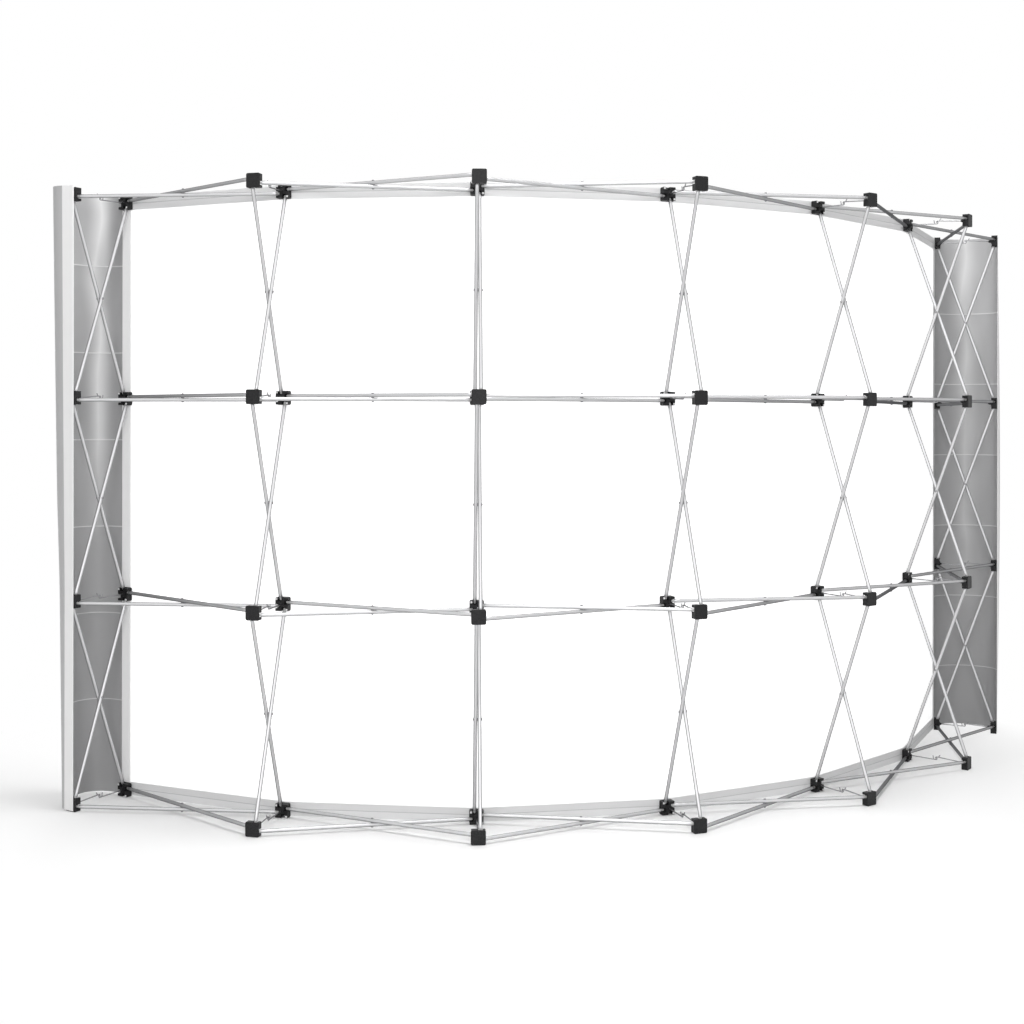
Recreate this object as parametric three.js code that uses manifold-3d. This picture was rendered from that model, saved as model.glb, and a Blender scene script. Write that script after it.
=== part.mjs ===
// A curved pop-up display backwall, standing open with its locks hooked.
// Seven columns and four rows of paired hubs, one hub on the back arc and one on the front arc,
// are joined by crossed tubes: flat crosses between columns, upright crosses between rows.
// A hooked lock arm holds each pair of hubs at its working depth.
// A stretched graphic covers the front hubs and a bent panel wraps each end.
// Units are millimetres, +Z is up, the audience stands on the -Y side.
import * as THREE from "three";
import { mergeVertices } from "three/addons/utils/BufferGeometryUtils.js";
import Module from "manifold-3d";

// Frame layout
const columnCount = 7;
const rowNames = ["bottom", "lower", "upper", "top"];
const rowPitch = 726;
const frameDepth = 242;
const frontHubRadius = 2262;
const backHubRadius = frontHubRadius + frameDepth;
const bayAngle = THREE.MathUtils.degToRad(17.5);
const arcCentreY = -1897.14;

// Hubs: a square cover plate with a slotted block behind it
const hubSize = 50;
const hubHalfDepth = 13;
const plateThickness = 3.5;
const blockHalf = 24;
const slotHalfWidth = 7.2;
const slotFloor = 10;
const openFace = 12;

// Tubes
const tubeRadius = 6.5;
const tubeSides = 6;
const tubeOffset = 7;
const pivotOffset = 18;
const looseEndRun = 4;
const seatedEndRun = 9;
const rivetRadius = 4;
const rivetHalfLength = 16.5;

// Lock arms
const lockPivotInset = 19;
const lockHalfWidth = 2.6;

// Front graphic and end panels
const graphicThickness = 1.5;
const graphicGap = 4;
const graphicOverhang = 41;
const graphicBottom = 2;
const panelThickness = 1.2;
const panelGap = 1.4;
const panelHemStart = -15;
const panelHemEnd = 30;
const panelWidth = 500;
const panelBottom = 4;
const panelTop = 2234;
const panelSteps = 18;
const panelLevels = 7;
const leftLean = 9.2;
const leftRun = 166;
const rightLean = 18;
const rightLeanFrom = 800;
const rightRunLow = 50;
const rightRunHigh = 120;
const rightRunTo = 1117;

const manifoldLibrary = await Module();
manifoldLibrary.setup();
const { Manifold, Mesh } = manifoldLibrary;

const plastic = new THREE.MeshStandardMaterial({ color: 0x2b2c2e, roughness: 0.55, metalness: 0 });
const aluminium = new THREE.MeshStandardMaterial({ color: 0xc9cbcd, roughness: 0.35, metalness: 1 });
const steel = new THREE.MeshStandardMaterial({ color: 0xd8d9db, roughness: 0.3, metalness: 1 });
const textile = new THREE.MeshStandardMaterial({ color: 0xf4f4f2, roughness: 0.9, metalness: 0 });
const laminate = new THREE.MeshStandardMaterial({ color: 0xc2c3c5, roughness: 0.5, metalness: 0 });

// Turns a three.js geometry into a closed solid.
function toSolid(geometry) {
  const bare = geometry.clone();
  bare.deleteAttribute("normal");
  bare.deleteAttribute("uv");
  const welded = mergeVertices(bare, 1e-4);
  return new Manifold(new Mesh({
    numProp: 3,
    vertProperties: new Float32Array(welded.attributes.position.array),
    triVerts: new Uint32Array(welded.index.array),
  }));
}

// Joins several geometries into one solid.
function joinSolids(geometries) {
  let whole = toSolid(geometries[0]);
  for (const geometry of geometries.slice(1)) {
    whole = whole.add(toSolid(geometry));
  }
  return whole;
}

// Makes a named mesh from a solid.
function toMesh(name, solid, material) {
  const data = solid.getMesh();
  const geometry = new THREE.BufferGeometry();
  geometry.setAttribute("position", new THREE.BufferAttribute(new Float32Array(data.vertProperties), 3));
  geometry.setIndex(new THREE.BufferAttribute(new Uint32Array(data.triVerts), 1));
  const flat = geometry.toNonIndexed();
  flat.computeVertexNormals();
  const mesh = new THREE.Mesh(flat, material);
  mesh.name = name;
  return mesh;
}

// A box between two corners, given as low and high [x, y, z].
function block(low, high) {
  const geometry = new THREE.BoxGeometry(high[0] - low[0], high[1] - low[1], high[2] - low[2]);
  geometry.translate((low[0] + high[0]) / 2, (low[1] + high[1]) / 2, (low[2] + high[2]) / 2);
  return geometry;
}

// A straight bar of regular section between two points.
function bar(start, end, radius, sides) {
  const run = end.clone().sub(start);
  const geometry = new THREE.CylinderGeometry(radius, radius, run.length(), sides, 1);
  const turn = new THREE.Quaternion().setFromUnitVectors(new THREE.Vector3(0, 1, 0), run.normalize());
  geometry.applyQuaternion(turn);
  geometry.translate((start.x + end.x) / 2, (start.y + end.y) / 2, (start.z + end.z) / 2);
  return geometry;
}

// A flat outline drawn in width and height, given depth along y.
function slab(points, lowY, highY) {
  const shape = new THREE.Shape(points.map(([x, z]) => new THREE.Vector2(x, z)));
  const geometry = new THREE.ExtrudeGeometry(shape, { depth: highY - lowY, bevelEnabled: false });
  geometry.rotateX(Math.PI / 2);
  geometry.translate(0, highY, 0);
  return geometry;
}

// The angle of a column on the arc; column 1 is at the -X end.
function columnAngle(column) {
  return (column - (columnCount + 1) / 2) * bayAngle;
}

// The height of a row's hub centres.
function rowHeight(row) {
  return hubSize / 2 + row * rowPitch;
}

// The frame of a column: x runs along the arc, y outward to the back, z up.
function columnFrame(column, radius, height) {
  const angle = columnAngle(column);
  const frame = new THREE.Matrix4().makeRotationZ(-angle);
  frame.setPosition(radius * Math.sin(angle), arcCentreY + radius * Math.cos(angle), height);
  return frame;
}

// A point given in a column's frame.
function columnPoint(column, radius, height, x, y, z) {
  return new THREE.Vector3(x, y, z).applyMatrix4(columnFrame(column, radius, height));
}

// The square cover plate: side is +1 on a back hub and -1 on a front hub.
function hubPlate(side) {
  const half = hubSize / 2;
  const outer = side * hubHalfDepth;
  const inner = side * (hubHalfDepth - plateThickness);
  return block([-half, Math.min(outer, inner), -half], [half, Math.max(outer, inner), half]);
}

// The block behind the plate, with one slot in each edge set off centre like a pinwheel.
function hubBlock(side) {
  const b = blockHalf;
  const f = slotFloor;
  const w = slotHalfWidth;
  const c = tubeOffset * side;
  const outline = [
    [b, b], [-c + w, b], [-c + w, f], [-c - w, f], [-c - w, b],
    [-b, b], [-b, -c + w], [-f, -c + w], [-f, -c - w], [-b, -c - w],
    [-b, -b], [c - w, -b], [c - w, -f], [c + w, -f], [c + w, -b],
    [b, -b], [b, c - w], [f, c - w], [f, c + w], [b, c + w],
  ];
  const outer = side * (hubHalfDepth - plateThickness / 2);
  const open = -side * openFace;
  return slab(outline, Math.min(outer, open), Math.max(outer, open));
}

// The two ears that a back hub's lock arm turns between.
function lockEars() {
  const nearFace = -openFace + 1;
  const farFace = -lockPivotInset - 5;
  const earInner = lockHalfWidth + 0.5;
  const earOuter = earInner + 3;
  return [
    block([earInner, farFace, -5], [earOuter, nearFace, 5]),
    block([-earOuter, farFace, -5], [-earInner, nearFace, 5]),
  ];
}

// A flat outline in depth and height, given width from -lockHalfWidth to +lockHalfWidth.
function lockSlab(points) {
  const geometry = slab(points, -lockHalfWidth, lockHalfWidth);
  geometry.rotateZ(Math.PI / 2);
  return geometry;
}

// The fixed half of a lock on a front hub: a rod with a tooth at its end and a finger tab.
function lockCatch() {
  const middle = frameDepth / 2;
  const root = openFace - 1;
  return lockSlab([
    [root, -2.6], [middle + 4, -5.5], [middle + 4, 6], [middle + 1, 6], [middle + 1, -1],
    [middle - 7, -0.9], [middle - 12, 12], [middle - 15, 11], [middle - 11, -0.8], [root, 2.6],
  ]);
}

// The moving half of a lock: a rounded root between the ears, a rod, a finger tab and a hook.
function lockArm() {
  const middle = -frameDepth / 2;
  const rootY = -lockPivotInset;
  return lockSlab([
    [rootY + 4.4, -2.2], [rootY + 4.4, 2.2], [rootY + 2.2, 4.4], [rootY - 3, 4.4],
    [middle + 13, 9.6], [middle + 17, 18], [middle + 14, 19], [middle + 9, 9.8],
    [middle - 4, 9.8], [middle - 4, 0.3], [middle - 1, 0.3], [middle - 1, 6.6],
    [middle + 12, 5.4], [rootY - 3, -2.6], [rootY + 2.2, -4.4],
  ]);
}

// One hub with what is fixed to it, placed at its column and row.
function placedHub(column, row, side) {
  const radius = side > 0 ? backHubRadius : frontHubRadius;
  const pieces = [hubPlate(side), hubBlock(side)];
  pieces.push(...(side > 0 ? lockEars() : [lockCatch()]));
  const frame = columnFrame(column, radius, rowHeight(row));
  return pieces.map((piece) => piece.applyMatrix4(frame));
}

// Where a level tube's end sits in a hub: direction is +1 toward the next column.
function levelPivot(column, row, side, direction) {
  const radius = side > 0 ? backHubRadius : frontHubRadius;
  const lift = tubeOffset * side * direction;
  return columnPoint(column, radius, rowHeight(row), pivotOffset * direction, 0, lift);
}

// A tube that runs past its two pivots by the given lengths.
function tubeBetween(start, end, startRun, endRun) {
  const run = end.clone().sub(start).normalize();
  const from = start.clone().addScaledVector(run, -startRun);
  return bar(from, end.clone().addScaledVector(run, endRun), tubeRadius, tubeSides);
}

// The point where two crossed tubes pass each other, seen along the rivet.
function crossing(startA, endA, startB, endB) {
  const runA = endA.clone().sub(startA);
  const runB = endB.clone().sub(startB);
  const gap = startB.clone().sub(startA);
  const normal = runA.clone().cross(runB);
  const share = gap.clone().cross(runB).dot(normal) / normal.lengthSq();
  const onA = startA.clone().addScaledVector(runA, share);
  const along = normal.clone().normalize();
  const offset = gap.dot(along);
  return { centre: onA.addScaledVector(along, offset / 2), along };
}

// Two crossed tubes with the rivet through them.
function crossedTubes(startA, endA, startB, endB, startRun, endRun) {
  const { centre, along } = crossing(startA, endA, startB, endB);
  const reach = along.clone().multiplyScalar(rivetHalfLength);
  return [
    tubeBetween(startA, endA, startRun, endRun),
    tubeBetween(startB, endB, startRun, endRun),
    bar(centre.clone().sub(reach), centre.clone().add(reach), rivetRadius, 4),
  ];
}

// A level cross in the bay between a column and the next one, loose in the first column's hubs
// where those belong to the other half of the row.
function levelCross(column, row, seatedAtStart) {
  return crossedTubes(
    levelPivot(column, row, 1, 1), levelPivot(column + 1, row, -1, -1),
    levelPivot(column, row, -1, 1), levelPivot(column + 1, row, 1, -1),
    seatedAtStart ? seatedEndRun : looseEndRun, seatedEndRun,
  );
}

// One half of a row: its hubs and its level crosses.
function rowHalf(row, firstHub, lastHub, firstBay, lastBay) {
  const pieces = [];
  for (let column = firstHub; column <= lastHub; column += 1) {
    pieces.push(...placedHub(column, row, 1), ...placedHub(column, row, -1));
  }
  for (let column = firstBay; column <= lastBay; column += 1) {
    pieces.push(...levelCross(column, row, column >= firstHub));
  }
  return joinSolids(pieces);
}

// Where an upright tube's end sits in a hub: direction is +1 upward.
function uprightPivot(column, row, side, direction) {
  const radius = side > 0 ? backHubRadius : frontHubRadius;
  const shift = -tubeOffset * side * direction;
  return columnPoint(column, radius, rowHeight(row), shift, 0, pivotOffset * direction);
}

// An upright cross between a row and the row above it.
function uprightCross(column, row) {
  return joinSolids(crossedTubes(
    uprightPivot(column, row, 1, 1), uprightPivot(column, row + 1, -1, -1),
    uprightPivot(column, row, -1, 1), uprightPivot(column, row + 1, 1, -1),
    looseEndRun, looseEndRun,
  ));
}

// The same line moved to its right by a distance, evenly on both sides of a bend.
function movedRight(line, distance) {
  return line.map((point, k) => {
    const before = line[Math.max(k - 1, 0)];
    const after = line[Math.min(k + 1, line.length - 1)];
    const inward = point.clone().sub(before).normalize();
    const outward = after.clone().sub(point).normalize();
    const first = k === 0 ? outward : inward;
    const last = k === line.length - 1 ? inward : outward;
    const middle = first.clone().add(last).normalize();
    const right = new THREE.Vector2(middle.y, -middle.x);
    const spread = right.dot(new THREE.Vector2(first.y, -first.x));
    return point.clone().addScaledVector(right, distance / spread);
  });
}

// A thin sheet through lines in plan, each at its own height, with its thickness to their right.
function sheetThrough(lines, thickness, heights) {
  const count = lines[0].length;
  const around = 2 * count;
  const positions = [];
  lines.forEach((line, level) => {
    const loop = [...line, ...movedRight(line, thickness).reverse()];
    loop.forEach((point) => positions.push(point.x, point.y, heights[level]));
  });
  const triangles = [];
  for (let level = 0; level < lines.length - 1; level += 1) {
    for (let k = 0; k < around; k += 1) {
      const low = level * around + k;
      const lowNext = level * around + ((k + 1) % around);
      triangles.push(low, lowNext + around, lowNext, low, low + around, lowNext + around);
    }
  }
  const top = (lines.length - 1) * around;
  for (let k = 0; k < count - 1; k += 1) {
    const across = around - 1 - k;
    triangles.push(k, k + 1, across - 1, k, across - 1, across);
    triangles.push(top + k, top + across - 1, top + k + 1, top + k, top + across, top + across - 1);
  }
  const geometry = new THREE.BufferGeometry();
  geometry.setAttribute("position", new THREE.Float32BufferAttribute(positions, 3));
  geometry.setIndex(triangles);
  return geometry;
}

// The plan position of a point in a column's frame.
function planPoint(column, radius, x, y) {
  const point = columnPoint(column, radius, 0, x, y, 0);
  return new THREE.Vector2(point.x, point.y);
}

// The stretched front graphic: flat between one column and the next, with a short overhang at each end.
function frontGraphic() {
  const reach = -hubHalfDepth - graphicGap;
  const line = [planPoint(columnCount, frontHubRadius, graphicOverhang, reach)];
  for (let column = columnCount; column >= 1; column -= 1) {
    line.push(planPoint(column, frontHubRadius, 0, reach));
  }
  line.push(planPoint(1, frontHubRadius, -graphicOverhang, reach));
  line.reverse();
  const top = rowHeight(rowNames.length - 1) + hubSize / 2;
  return toSolid(sheetThrough([line, line], graphicThickness, [graphicBottom, top]));
}

// The length of a line.
function lineLength(line) {
  return line.slice(1).reduce((sum, point, k) => sum + point.distanceTo(line[k]), 0);
}

// An end panel's outer face at one height: a hem on the back hubs that may lean out from them, a
// smooth turn round the end, and a hem on the front hubs. run is how strongly the turn goes on from
// the back hem, and reach how strongly it comes out of the front hem.
function panelPlaces(lean, run, reach) {
  const backFace = hubHalfDepth + panelGap + panelThickness;
  const frontFace = -frameDepth - hubHalfDepth - panelGap - panelThickness;
  const hemMiddle = (panelHemStart + panelHemEnd) / 2;
  const back = new THREE.Vector2(panelHemEnd, backFace + lean);
  const front = new THREE.Vector2(panelHemEnd, frontFace);
  const leaving = new THREE.Vector2(panelHemEnd - panelHemStart, lean).setLength(run);
  const coming = new THREE.Vector2(reach, 0);
  const turn = new THREE.CubicBezierCurve(back, back.clone().add(leaving), front.clone().add(coming), front);
  return [
    new THREE.Vector2(panelHemStart, backFace),
    new THREE.Vector2(hemMiddle, backFace + lean / 2),
    ...turn.getPoints(panelSteps),
    new THREE.Vector2(hemMiddle, frontFace),
    new THREE.Vector2(panelHemStart, frontFace),
  ];
}

// The same with the reach at which the sheet uses up its full width.
function panelOfFullWidth(lean, run) {
  let low = 10;
  let high = 600;
  for (let step = 0; step < 40; step += 1) {
    const reach = (low + high) / 2;
    if (lineLength(panelPlaces(lean, run, reach)) < panelWidth) {
      low = reach;
    } else {
      high = reach;
    }
  }
  return panelPlaces(lean, run, low);
}

// How an end panel hangs at a height. The left one bows out a little between top and bottom; the right
// one leans out toward its top and turns more tightly toward its foot.
function panelAt(end, height) {
  if (end < 0) {
    const share = (height - panelBottom) / (panelTop - panelBottom);
    return panelOfFullWidth(leftLean * Math.sin(Math.PI * share), leftRun);
  }
  const lean = rightLean * Math.max(0, (height - rightLeanFrom) / (panelTop - rightLeanFrom));
  const run = rightRunLow + (rightRunHigh - rightRunLow) * Math.min(1, height / rightRunTo);
  return panelOfFullWidth(lean, run);
}

// An end panel: end is -1 for the -X end and +1 for the +X end.
function endPanel(end) {
  const column = end > 0 ? columnCount : 1;
  const heights = [];
  for (let level = 0; level < panelLevels; level += 1) {
    heights.push(panelBottom + ((panelTop - panelBottom) * level) / (panelLevels - 1));
  }
  const lines = heights.map((height) => {
    const line = panelAt(end, height).map(({ x, y }) => planPoint(column, backHubRadius, end * x, y));
    return end < 0 ? line.reverse() : line;
  });
  return toSolid(sheetThrough(lines, panelThickness, heights));
}

const backwall = new THREE.Group();
backwall.name = "pop_up_display_backwall";

rowNames.forEach((rowName, row) => {
  backwall.add(toMesh(`${rowName}_row_left`, rowHalf(row, 1, 4, 1, 3), aluminium));
  backwall.add(toMesh(`${rowName}_row_right`, rowHalf(row, 5, 7, 4, 6), aluminium));
});

["bottom", "middle", "top"].forEach((tierName, tier) => {
  for (let column = 1; column <= columnCount; column += 1) {
    backwall.add(toMesh(`upright_cross_${column}_${tierName}`, uprightCross(column, tier), aluminium));
  }
});

rowNames.forEach((rowName, row) => {
  for (let column = 1; column <= columnCount; column += 1) {
    const frame = columnFrame(column, backHubRadius, rowHeight(row));
    const arm = toSolid(lockArm().applyMatrix4(frame));
    backwall.add(toMesh(`lock_arm_${column}_${rowName}`, arm, steel));
  }
});

backwall.add(toMesh("front_graphic", frontGraphic(), textile));
backwall.add(toMesh("end_panel_left", endPanel(-1), laminate));
backwall.add(toMesh("end_panel_right", endPanel(1), laminate));

export default backwall;
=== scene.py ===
"""Looks for a curved pop-up display backwall: tubes, hubs, locks, a stretched graphic and two end panels."""

import math

import bpy
import numpy as np
from mathutils import Matrix, Vector


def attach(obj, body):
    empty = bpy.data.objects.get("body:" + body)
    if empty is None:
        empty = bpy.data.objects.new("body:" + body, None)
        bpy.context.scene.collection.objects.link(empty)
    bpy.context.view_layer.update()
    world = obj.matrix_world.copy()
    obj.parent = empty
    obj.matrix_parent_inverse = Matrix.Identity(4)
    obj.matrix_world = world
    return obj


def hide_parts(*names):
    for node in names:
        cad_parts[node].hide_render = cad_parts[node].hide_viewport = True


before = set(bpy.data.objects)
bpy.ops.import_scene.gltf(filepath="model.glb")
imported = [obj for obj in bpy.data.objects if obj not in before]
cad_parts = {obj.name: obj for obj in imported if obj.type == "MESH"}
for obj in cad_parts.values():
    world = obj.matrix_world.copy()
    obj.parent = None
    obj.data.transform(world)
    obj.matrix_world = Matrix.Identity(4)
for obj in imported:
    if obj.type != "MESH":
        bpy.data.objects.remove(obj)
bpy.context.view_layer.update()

# Frame layout as in the CAD part, in metres; a bay is the angle from one column to the next
COLUMNS = 7
ROWS = ("bottom", "lower", "upper", "top")
TIERS = ("bottom", "middle", "top")
ROW_PITCH = 0.726
DEPTH = 0.242
FRONT_RADIUS = 2.262
BACK_RADIUS = FRONT_RADIUS + DEPTH
BAY = math.radians(17.5)
ARC_CENTRE_Y = -1.89714
HUB = 0.050
HUB_HALF_DEPTH = 0.013
TUBE_RADIUS = 0.0065
TUBE_OFFSET = 0.007
PIVOT = 0.018
RIVET_HALF = 0.0165

# Hub details: cover plate, open face of the block, pins, light plugs and fastening pads
PLATE_DEPTH = 0.0042
PLATE_CORNER = 0.0065
OPEN_FACE = 0.012
PIN_RADIUS, PIN_REACH = 0.0014, 0.0082
PLUG, PLUG_PLACE = 0.007, 0.019
PAD, PAD_CLEARANCE = 0.026, 0.0003

# Locks
LOCK_PIVOT = 0.019
ROD_RADIUS, TAB_RADIUS = 0.0021, 0.0019

# Front graphic and end panels
GRAPHIC_REACH = 0.017
GRAPHIC_OVERHANG = 0.041
GRAPHIC_BOTTOM = 0.002
GRAPHIC_THICKNESS = 0.0013
GRAPHIC_STEP = 0.012
HEM = 0.050
HEM_SWELL = 0.00035
SEAM_DIP, SEAM_HALF = 0.00025, 0.0015
PANEL_BOTTOM = 0.004
PANEL_TOP = 2.234
PANEL_THICKNESS = 0.0012
PANEL_GAP = 0.0014
PANEL_HEM = (-0.015, 0.030)
PANEL_WIDTH = 0.500
PANEL_STRIP = 0.045
LEFT_LEAN, LEFT_RUN = 0.0092, 0.166
RIGHT_LEAN, RIGHT_LEAN_FROM = 0.018, 0.800
RIGHT_RUN_LOW, RIGHT_RUN_HIGH, RIGHT_RUN_TO = 0.050, 0.120, 1.117
REACH_LEAST, REACH_MOST, REACH_HALVINGS = 0.010, 0.600, 36
PANEL_STEPS, PANEL_STEPS_COARSE, PANEL_STEPS_FINE = 90, 40, 160
CREASE_DEPTH, CREASE_HALF = 0.0007, 0.006

# Places of the finishes in the list of a hub or tube piece: its own, white plastic, wire, black block
OWN, WHITE, BRIGHT, BLOCK = 0, 1, 2, 3

# The most of an edge that a rounded corner takes, and how a wire's end reaches out and draws in
CORNER_SHARE = 0.45
TIP_REACH, TIP_SHARE = 0.6, 0.5


# ---------------------------------------------------------------- places

def column_angle(column):
    """The angle of a column on the arc; column 1 is at the -X end."""
    return (column - (COLUMNS + 1) / 2) * BAY


def row_height(row):
    """The height of a row's hub centres."""
    return HUB / 2 + row * ROW_PITCH


def place(column, radius, height, points):
    """Points given as x along the arc, y outward and z up from a hub centre, moved to the row frame."""
    points = np.asarray(points, float)
    a = column_angle(column)
    x, y, z = points[..., 0], points[..., 1], points[..., 2]
    return np.stack([
        radius * math.sin(a) + x * math.cos(a) + y * math.sin(a),
        ARC_CENTRE_Y + radius * math.cos(a) - x * math.sin(a) + y * math.cos(a),
        height + z,
    ], axis=-1)


def hub_radius(side):
    """Distance from the wall's centre of curvature to a back (+1) or front (-1) hub."""
    return BACK_RADIUS if side > 0 else FRONT_RADIUS


def level_pivot(column, row, side, direction):
    """Where a level tube's end is pinned in a hub; direction is +1 toward the next column."""
    lift = TUBE_OFFSET * side * direction
    return place(column, hub_radius(side), row_height(row), [PIVOT * direction, 0, lift])


def upright_pivot(column, row, side, direction):
    """Where an upright tube's end is pinned in a hub; direction is +1 upward."""
    shift = -TUBE_OFFSET * side * direction
    return place(column, hub_radius(side), row_height(row), [shift, 0, PIVOT * direction])


# ---------------------------------------------------------------- mesh making

def new_piece(name, points, faces, numbers, smooth, materials):
    """An object made of points and faces, with a material number and a smooth flag for each face."""
    mesh = bpy.data.meshes.new(name)
    mesh.from_pydata(points, [], faces)
    for material in materials:
        mesh.materials.append(material)
    mesh.polygons.foreach_set("material_index", numbers)
    mesh.polygons.foreach_set("use_smooth", smooth)
    mesh.validate()
    piece = bpy.data.objects.new(name, mesh)
    bpy.context.scene.collection.objects.link(piece)
    return piece


class Shape:
    """Collects lofted surfaces into one mesh, with a material number for each face."""

    def __init__(self):
        self.points = []
        self.faces = []
        self.numbers = []
        self.smooth = []
        self.count = 0

    def loft(self, rings, number=0, smooth=True):
        """Joins closed rings of points with four-sided faces and closes both ends.

        The number is one material for all, or one for each band. The faces are turned outward: the sum of
        each face's normal times its offset from the middle of the shape has to be above zero.
        """
        rings = np.asarray(rings, float)
        bands, around = rings.shape[0] - 1, rings.shape[1]
        index = self.count + np.arange((bands + 1) * around).reshape(bands + 1, around)
        flat = rings.reshape(-1, 3)
        after = np.roll(index, -1, axis=1)
        quads = np.stack([index[:-1], after[:-1], after[1:], index[1:]], axis=-1).reshape(-1, 4)
        corners = flat[quads - self.count]
        normals = np.cross(corners[:, 2] - corners[:, 0], corners[:, 3] - corners[:, 1])
        first, last = index[:1, ::-1], index[-1:]
        if np.sum(normals * (corners.mean(axis=1) - flat.mean(axis=0))) < 0:
            quads, first, last = quads[:, ::-1], first[:, ::-1], last[:, ::-1]
        self.points.append(flat)
        self.count += len(flat)
        numbers = np.broadcast_to(number, bands)
        self.faces += quads.tolist() + first.tolist() + last.tolist()
        self.numbers += np.repeat(numbers, around).tolist() + [int(numbers[0]), int(numbers[-1])]
        self.smooth += [smooth] * len(quads) + [False, False]

    def make(self, name, body, materials, replaced):
        """Turns the collected surfaces into a piece that rides on a body and replaces CAD nodes."""
        points = np.concatenate(self.points).tolist()
        piece = new_piece(name, points, self.faces, self.numbers, self.smooth, materials)
        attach(piece, body)
        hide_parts(*replaced)
        return piece


def circle(sides):
    """Unit circle points."""
    angle = 2 * math.pi * np.arange(sides) / sides
    return np.stack([np.cos(angle), np.sin(angle)], axis=-1)


def across(direction):
    """Two unit vectors square to a direction and to each other."""
    direction = direction / np.linalg.norm(direction)
    helper = np.array([0, 0, 1.0]) if abs(direction[2]) < 0.8 else np.array([0, 1.0, 0])
    first = np.cross(helper, direction)
    first /= np.linalg.norm(first)
    return first, np.cross(direction, first)


def turned(start, end, profile, sides=16):
    """Rings of a round bar from one point toward another; profile lists (distance from start, radius)."""
    start, end = np.asarray(start, float), np.asarray(end, float)
    run = (end - start) / np.linalg.norm(end - start)
    first, second = across(run)
    spin = circle(sides)
    return np.array([
        start + run * distance + radius * (spin[:, :1] * first + spin[:, 1:] * second)
        for distance, radius in profile
    ])


def wire(path, radius, sides=10):
    """Rings of a round wire along a path, each square to the path, with its ends drawn in.

    The direction across the wire is carried from point to point, less its part along the path.
    """
    path = np.asarray(path, float)
    run = np.gradient(path, axis=0)
    run /= np.linalg.norm(run, axis=1)[:, None]
    first = across(run[0])[0]
    spin = circle(sides)
    rings = []
    for k, centre in enumerate(path):
        first = first - run[k] * (first @ run[k])
        first /= np.linalg.norm(first)
        second = np.cross(run[k], first)
        rings.append(centre + radius * (spin[:, :1] * first + spin[:, 1:] * second))
    first_tip, last_tip = (
        path[end] + way * run[end] * radius * TIP_REACH + TIP_SHARE * (rings[end] - path[end])
        for end, way in ((0, -1), (-1, 1))
    )
    return np.array([first_tip, *rings, last_tip])


def corner_curve(before, corner, after, bend, steps):
    """A curve that cuts a corner, from and to points at most one bend away from it.

    It is the sum of its first point, the corner and its last point, weighted by (1 - t) squared,
    2 t (1 - t) and t squared.
    """
    back, on = before - corner, after - corner
    back_length, on_length = np.linalg.norm(back), np.linalg.norm(on)
    reach = min(bend, CORNER_SHARE * back_length, CORNER_SHARE * on_length)
    first, last = corner + back / back_length * reach, corner + on / on_length * reach
    t = np.linspace(0, 1, steps)[:, None]
    return (1 - t) ** 2 * first + 2 * t * (1 - t) * corner + t ** 2 * last


def rounded(corners, bend, steps=5):
    """A path through corner points with each inner corner rounded."""
    corners = np.asarray(corners, float)
    curves = [corner_curve(*three, bend, steps) for three in zip(corners, corners[1:], corners[2:])]
    return np.concatenate([corners[:1], *curves, corners[-1:]])


def filleted(outline, radius, steps=3):
    """A closed outline with each corner rounded."""
    outline = np.asarray(outline, float)
    before, after = np.roll(outline, 1, axis=0), np.roll(outline, -1, axis=0)
    return np.concatenate([corner_curve(*three, radius, steps) for three in zip(before, outline, after)])


def square(side_length):
    """The corners of a square about its middle, in the order in which inset moves them inward."""
    half = side_length / 2
    return [[half, -half], [half, half], [-half, half], [-half, -half]]


def inset(outline, distance):
    """A closed anticlockwise outline moved inward, each point square to the line between its neighbours."""
    before = np.roll(outline, 1, axis=0)
    after = np.roll(outline, -1, axis=0)
    run = after - before
    run /= np.linalg.norm(run, axis=1)[:, None]
    return outline + distance * np.stack([-run[:, 1], run[:, 0]], axis=-1)


def layered(outline, steps):
    """Rings of an outline at each depth along y, each moved inward by its own distance."""
    rings = []
    for y, inward in steps:
        flat = inset(outline, inward)
        rings.append(np.stack([flat[:, 0], np.full(len(flat), y), flat[:, 1]], axis=-1))
    return np.array(rings)


def moulded(outline, start, end, edge):
    """Rings of an outline given depth along y between two places, with its edges rounded."""
    low, high = sorted((start, end))
    return layered(outline, [(low, edge), (low + 0.3 * edge, 0.3 * edge), (low + edge, 0.0),
                             (high - edge, 0.0), (high - 0.3 * edge, 0.3 * edge), (high, edge)])


def hub_placer(shape, column, row, side):
    """A function that adds rings, given from a hub's centre, to the shape at that hub's place."""
    def put(rings, number, smooth=True):
        shape.loft(place(column, hub_radius(side), row_height(row), rings), number, smooth)

    return put


# ---------------------------------------------------------------- materials

def socket_group(name, inputs, outputs):
    """An empty node group with the given sockets."""
    group = bpy.data.node_groups.new(name, "ShaderNodeTree")
    for label, kind in inputs:
        group.interface.new_socket(label, in_out="INPUT", socket_type=kind)
    for label, kind in outputs:
        group.interface.new_socket(label, in_out="OUTPUT", socket_type=kind)
    return group


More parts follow.
